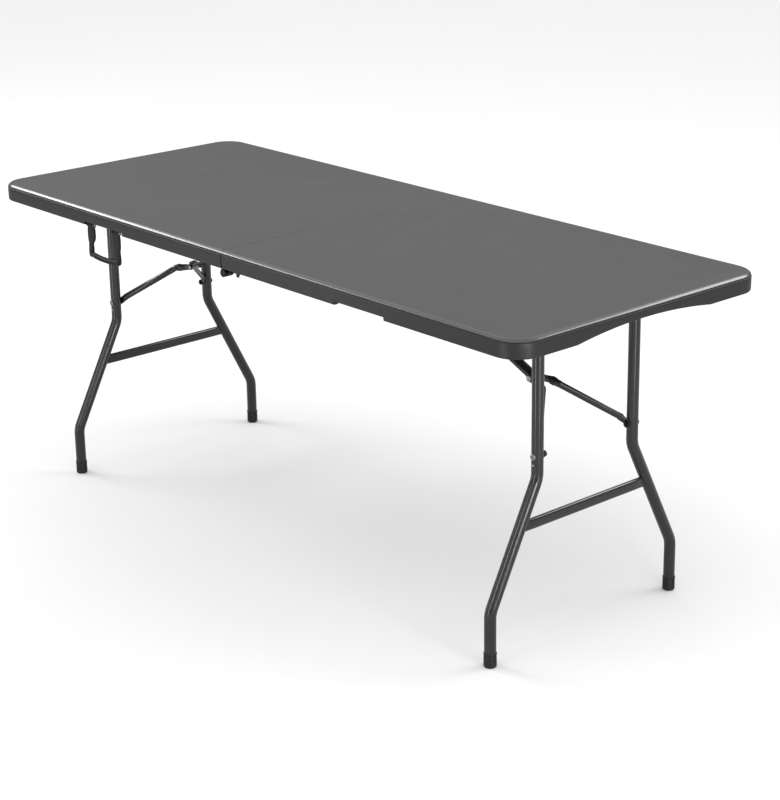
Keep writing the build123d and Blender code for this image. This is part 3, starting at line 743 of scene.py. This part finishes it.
def make_bolts(side):
    node = side + "_strut_bolts"
    x, z = middle(node).x, middle(node).z
    body = side + "_legs"
    heads = [((x, y * (LEG_TOP_Y + LEG_RADIUS + mm(0.1)), z), (0, y, 0)) for y in (-1, 1)]
    repeated(side + "_bolt_heads", BOLT_HEAD, heads, BOLT_STEEL, body)
    inner = LEG_TOP_Y - LEG_RADIUS - mm(3.6)
    nuts = [((x, y * inner, z), (0, -y, 0)) for y in (-1, 1)]
    repeated(side + "_bolt_nuts", NUT, nuts, DARK_ZINC, body, [node])
    buttons = [((x, y * (LEG_TOP_Y + LEG_RADIUS - mm(0.4)), z - mm(18)), (0, y, 0)) for y in (-1, 1)]
    repeated(side + "_leg_rivets", BUTTON, buttons, ZINC, body)


for side, sign in SIDES:
    make_legs(side, sign)
    make_crossbar(side, sign)
    make_feet(side, sign)
    make_bolts(side)

# ------------------------------------------------------------------ braces
STEM_ANGLE = radians(10)
STEM_END = mm(48)
STEM_Y = mm(22.5)
BEND_REACH = mm(7)
COLLAR_START = mm(29.6)


def brace_points(side, sign):
    """The strut joint, the way the stem runs from it, and the leg bolt, all at y = 0."""
    joint = middle(side + "_joint_sleeve")
    bolt = middle(side + "_strut_bolts")
    along = Vector((sign * cos(STEM_ANGLE), 0, -sin(STEM_ANGLE)))
    return Vector((joint.x, 0, joint.z)), along, Vector((bolt.x, 0, bolt.z))


def make_struts(side, sign):
    """Bent tubes pressed flat at both ends, where they are bolted on."""
    joint, stem, bolt = brace_points(side, sign)
    spread = joint + stem * STEM_END
    arm = (bolt - spread).normalized()
    across_y = Vector((0, 1, 0))
    bolt_y = LEG_TOP_Y - LEG_RADIUS - mm(1.8)
    tube_y = bolt_y - mm(6.4)
    plate_y = mm(15.5)
    for word, y_sign in (("front", -1), ("back", 1)):
        tab = ((-7.4, 2.2), (-6.2, 5.2), (-3, 7.2), (0, 7.5), (13, 7.5))
        rows = [(mm(d), plate_y, tall, 1.5) for d, tall in tab]
        rows += [(mm(17), mm(16.5), 7.7, 3), (mm(22), mm(19.6), 8, 6), (mm(27), STEM_Y, 8, 8)]
        centres = [(joint + stem * d, y, tall, thick, stem) for d, y, tall, thick in rows]
        before = joint + stem * (STEM_END - BEND_REACH) + across_y * STEM_Y
        corner = spread + across_y * STEM_Y
        slope = bolt - arm * mm(22) + across_y * tube_y - corner
        after = corner + slope.normalized() * BEND_REACH
        for i in range(9):
            t = i / 8
            at = before * (1 - t) ** 2 + corner * (2 * t * (1 - t)) + after * t**2
            centres.append((Vector((at.x, 0, at.z)), at.y, 8, 8, stem * (1 - t) + arm * t))
        rows = [(22, tube_y, 8, 8), (17, tube_y + mm(0.6), 8, 6.6), (11, bolt_y - mm(2.4), 7.8, 3.4)]
        rows += [(6, bolt_y, 7.6, 1.6), (0, bolt_y, 7.5, 1.5), (-3, bolt_y, 7.2, 1.5)]
        rows += [(-6.2, bolt_y, 5.2, 1.5), (-7.4, bolt_y, 2.2, 1.5)]
        centres += [(bolt - arm * mm(d), y, tall, thick, arm) for d, y, tall, thick in rows]
        rings = []
        for at, y, tall, thick, along in centres:
            upright = along.cross(across_y).normalized()
            centre = Vector((at.x, y_sign * y, at.z))
            rings.append(oval(centre, upright, across_y, mm(tall), mm(thick), 2 if thick > 5 else 3.4, 36))
        piece = new_piece(f"{side}_{word}_strut_tube", [skin(rings)], [STEEL])
        finish_piece(piece, side + "_struts", [f"{side}_{word}_strut"], crease=60)


def make_ferrules(side, sign):
    """Black collars with rolled rims where the stem ends and the struts spread."""
    joint, stem, _ = brace_points(side, sign)
    profile = [(0, 8), (0, 8.8), (0.4, 9.2), (1.5, 9.2), (1.9, 8.9)]
    profile += [(7.1, 8.9), (7.5, 9.2), (8.6, 9.2), (9, 8.8), (9, 8)]
    shapes = []
    for y_sign in (-1, 1):
        base = joint + stem * COLLAR_START + Vector((0, y_sign * STEM_Y, 0))
        shapes.append(lathe(profile, base, stem, count=36))
    piece = new_piece(side + "_strut_collars", shapes, [FOOT])
    finish_piece(piece, side + "_struts", [side + "_strut_ferrules"])


def make_link(side, sign):
    """Pressed channel with rolled edges, a long slot shown as a thin black patch that paints the shade in
    the open slot, and an eye near its lower end.
    """
    joint = brace_points(side, sign)[0]
    pin = middle(side + "_link_pin")
    start = Vector((pin.x, 0, pin.z))
    along = (joint - start).normalized()
    length = (joint - start).length
    up = Vector((0, 1, 0)).cross(along) * (1 if sign > 0 else -1)
    if up.z < 0:
        up = -up
    outer = [(-12.5, -4), (-12.5, 2.4), (-12, 3.4), (-11, 4), (11, 4), (12, 3.4), (12.5, 2.4), (12.5, -4)]
    inner = [(10.5, -4), (10.5, 1.6), (10, 2), (-10, 2), (-10.5, 1.6), (-10.5, -4)]
    section = outer + inner
    rings = []
    for distance, shrink in ((mm(-4), 0.97), (mm(-3.4), 1), (length + mm(3.4), 1), (length + mm(4), 0.97)):
        at = start + along * distance
        rings.append([at + Vector((0, mm(y * shrink), 0)) + up * mm(z * shrink) for y, z in section])
    shapes = [skin(rings, 0)]
    # The slot is not cut through: a thin black patch in the foot caps' plastic sits on the channel's top,
    # painted shade where the open slot would show dark.
    slot = []
    for lift, grow in ((3.9, 1.0), (4.15, 1.0), (4.15, 0.62), (3.95, 0.62)):
        ring = []
        for i in range(28):
            angle = 2 * pi * i / 28
            run = cos(angle) * 3.2 * grow + (19 if cos(angle) > 0 else -19)
            at = start + along * (length - mm(64) + mm(run))
            ring.append(at + Vector((0, mm(sin(angle) * 3.2 * grow), 0)) + up * mm(lift))
        slot.append(ring)
    shapes.append(skin(slot, 1))
    for y_sign in (-1, 1):
        base = joint + Vector((0, y_sign * mm(10.5), 0))
        eye = [(0, 4.2), (0, 6.6), (0.3, 7), (1.7, 7), (2, 6.6), (2, 4.2)]
        shapes.append(lathe(eye, base, Vector((0, y_sign, 0))))
    piece = new_piece(side + "_link_channel", shapes, [STEEL, FOOT])
    finish_piece(piece, side + "_link_arm", [side + "_link"])


def make_rivets(side):
    joint = middle(side + "_joint_sleeve")
    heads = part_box(side + "_joint_rivet_heads")
    face = heads[1].y - mm(2.5)
    spots = [((joint.x, y * face, joint.z), (0, y, 0)) for y in (-1, 1)]
    node = side + "_joint_rivet_heads"
    repeated(side + "_joint_rivets", RIVET, spots, ZINC, side + "_struts", [node])


for side, sign in SIDES:
    make_struts(side, sign)
    make_ferrules(side, sign)
    make_rivets(side)
    make_link(side, sign)
    softened(side + "_link_bracket", side + "_half", BLACK_STEEL, 0.4)
    softened(side + "_front_rail", side + "_half", STEEL, 0.8)
    softened(side + "_back_rail", side + "_half", STEEL, 0.8)
    softened(side + "_pivot_tube", side + "_legs", STEEL, 0.3)
    for word in ("front", "back"):
        softened(f"{side}_{word}_pivot_bracket", side + "_half", BLACK_STEEL, 0.6)
        softened(f"{side}_{word}_hinge_leaf", side + "_half", BLACK_STEEL, 0.6)


# ------------------------------------------------------------------ rails' screws, hinges, latch and handle
def make_rail_screws(side, sign):
    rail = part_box(side + "_front_rail")
    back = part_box(side + "_back_rail")
    ys = [(rail[0].y + rail[1].y) / 2, (back[0].y + back[1].y) / 2]
    spots = [((sign * mm(x), y, rail[0].z), (0, 0, -1)) for x in (120, 330, 540, 680, 785) for y in ys]
    node = side + "_rail_screws"
    repeated(side + "_rail_screw_heads", SCREW, spots, ZINC, side + "_half", [node])


for side, sign in SIDES:
    make_rail_screws(side, sign)

for node in ("latch_lever", "latch_tab"):
    softened(node, "latch", BLACK_STEEL if node == "latch_lever" else FOOT, 0.4)
softened("handle_clips", "left_half", BLACK_STEEL, 0.3)
for node in ("front_hinge_pin", "back_hinge_pin"):
    softened(node, "left_half", DARK_ZINC, 0.8, 3)


def make_handle():
    """Moulded bail: wide arms with a scalloped step, rounded elbows and a bowed, ribbed grip."""
    low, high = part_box("carry_handle")
    pivot_z = middle("handle_pins").z
    centre_x, y = (low.x + high.x) / 2, (low.y + high.y) / 2
    half = (high.x - low.x) / 2
    grip_z = low.z + mm(11.5)
    bow = mm(5)
    width, depth = Vector((1, 0, 0)), Vector((0, 1, 0))
    shapes = []
    for out in (-1, 1):
        edge = centre_x + out * half
        rings = []
        drop = pivot_z - grip_z
        # Rows of (share of the drop, outer edge, inner edge, half thickness) in millimetres.
        for share, outer, inner, thick in (
            (-0.055, 3, 21, 1.2), (-0.045, 1, 23, 2.6), (-0.02, 0.2, 23.8, 3.6), (0.02, 0, 24, 4),
            (0.2, -2, 26, 4.4), (0.42, -2, 26, 4.4), (0.55, -0.5, 22, 4.2), (0.62, 1.2, 17, 4),
            (0.67, 1.2, 15.6, 4.2), (0.72, 0.6, 16.4, 4.6), (0.80, 0.2, 16.6, 5), (0.90, 0.4, 15.6, 5.4),
            (1.0, 1.4, 14.6, 5.8), (1.06, 3, 13.4, 5.4), (1.1, 5.4, 11.4, 3.4),
        ):
            middle_x = edge - out * mm((outer + inner) / 2)
            at = Vector((middle_x, y, pivot_z - drop * share))
            power = 3.2 if share < 0.7 else 2.4
            rings.append(oval(at, width, depth, mm((inner - outer) / 2), mm(thick), power, 36))
        shapes.append(skin(rings))
    grip_half = half - mm(7)
    grip_radius = mm(5.9)
    radius = (grip_half**2 + bow**2) / (2 * bow)
    rings = []
    for i in range(25):
        x = grip_half * (i / 12 - 1)
        sag = sqrt(radius**2 - x**2) - (radius - bow)
        centre = Vector((centre_x + x, y, grip_z - sag))
        rings.append(oval(centre, depth, Vector((0, 0, 1)), grip_radius, grip_radius, count=32))
    shapes.append(skin(rings))
    piece = new_piece("carry_handle_bail", shapes, [HANDLE])
    finish_piece(piece, "handle", ["carry_handle"], crease=50)
    profile = [(-1.3, 5.7), (-1, 6.4), (0, 6.5), (1, 6.4), (1.3, 5.7)]
    ring = master("grip_rib_master", [lathe(profile, Vector(), Vector((0, 0, 1)), count=28)])
    spots = []
    for i in range(-8, 9):
        x = i * mm(5)
        sag = sqrt(radius**2 - x**2) - (radius - bow)
        spots.append(((centre_x + x, y, grip_z - sag), (cos(x / radius), 0, sin(x / radius))))
    repeated("handle_grip_ribs", ring, spots, HANDLE, "handle")


make_handle()

for name, node in frame["nodes"].items():
    if not node.hide_render:
        entry = next(s for s in frame["record"]["subparts"] if s["node"] == name)
        node.data.materials.clear()
        node.data.materials.append(FINISH_OF_SLOT[entry["material_slot"]])


# ------------------------------------------------------------------ floor, light and camera
def make_floor():
    """Pale floor. Reflections see it as a darker grey than the camera does."""
    finish = Finish("studio_floor", Roughness=0.9)
    seen = finish.add("ShaderNodeLightPath", output="Is Glossy Ray")
    pale = finish.blend(finish.noise(3, 3), (0.86, 0.86, 0.86), (0.88, 0.88, 0.88))
    finish.set(Base_Color=finish.blend(seen, pale, (0.4, 0.4, 0.4)))
    corners = [(-60, -60, 0), (60, -60, 0), (60, 60, 0), (-60, 60, 0)]
    new_piece("floor", [(corners, [(0, 1, 2, 3)], 0)], [finish.material])


def make_light(name, at, toward, size, power):
    data = bpy.data.lights.new(name, "AREA")
    data.shape = "RECTANGLE"
    data.size, data.size_y = size
    data.energy = power
    light = bpy.data.objects.new(name, data)
    light.location = at
    light.visible_camera = False
    light.rotation_mode = "QUATERNION"
    light.rotation_quaternion = (Vector(toward) - Vector(at)).to_track_quat("-Z", "Y")
    bpy.context.scene.collection.objects.link(light)


def make_camera():
    """Three-quarter view from the right front, a little above the top."""
    yaw, pitch, roll = 0.8296, 0.3228, -0.0079
    forward = Vector((-sin(yaw) * cos(pitch), cos(yaw) * cos(pitch), -sin(pitch)))
    right = Vector((cos(yaw), sin(yaw), 0))
    up = right.cross(forward)
    level = right * cos(roll) + up * sin(roll)
    upward = up * cos(roll) - right * sin(roll)
    data = bpy.data.cameras.new("camera")
    data.sensor_width = 36
    data.lens = 91.7
    data.shift_x = -0.0599
    data.shift_y = -0.0404
    data.clip_end = 200
    camera = bpy.data.objects.new("camera", data)
    turn = Matrix((level, upward, -forward)).transposed().to_4x4()
    camera.matrix_world = Matrix.Translation(Vector((3.41523, -2.85393, 1.88033))) @ turn
    bpy.context.scene.collection.objects.link(camera)
    bpy.context.scene.camera = camera


def make_world():
    """Soft studio surround: pale overhead, dimmer towards the horizon, white behind everything."""
    world = bpy.data.worlds.new("studio")
    world.use_nodes = True
    nodes, join = world.node_tree.nodes, world.node_tree.links.new
    where = nodes.new("ShaderNodeTexCoord")
    split = nodes.new("ShaderNodeSeparateXYZ")
    rise = nodes.new("ShaderNodeMapRange")
    for label, value in (("From Min", 0.2), ("From Max", 0.6), ("To Min", 0.2), ("To Max", 1.2)):
        rise.inputs[label].default_value = value
    seen = nodes.new("ShaderNodeLightPath")
    choose = nodes.new("ShaderNodeMix")
    choose.inputs["B"].default_value = 1.0
    join(where.outputs["Generated"], split.inputs["Vector"])
    join(split.outputs["Z"], rise.inputs["Value"])
    join(seen.outputs["Is Camera Ray"], choose.inputs["Factor"])
    join(rise.outputs["Result"], choose.inputs["A"])
    join(choose.outputs["Result"], nodes["Background"].inputs["Strength"])
    nodes["Background"].inputs["Color"].default_value = (1, 1, 1, 1)
    bpy.context.scene.world = world


make_floor()
make_world()
make_light("left_softbox", (-4.6, -1.8, 3.4), (0, -0.35, 0.74), (2.6, 1.2), 90)
make_light("back_softbox", (2.2, 3.6, 3.4), (0.9, 0, 0.74), (2.4, 1.4), 60)
make_light("front_strip", (0.72, -1.45, 0.45), (0.743, -0.2, 0.4), (0.1, 0.85), 2.2)
make_light("right_strip", (2.0, -0.35, 0.45), (0.743, -0.2, 0.4), (0.1, 0.85), 2.2)
make_light("left_front_strip", (-0.78, -1.35, 0.45), (-0.743, -0.2, 0.4), (0.1, 0.85), 1.6)
make_light("low_fill", (3.2, -0.9, 0.8), (0.3, 0, 0.6), (1.2, 0.5), 14)
bpy.context.scene.view_settings.view_transform = "Standard"
make_camera()

for block in list(bpy.data.objects):
    if block.name.endswith("_master"):
        bpy.data.objects.remove(block)
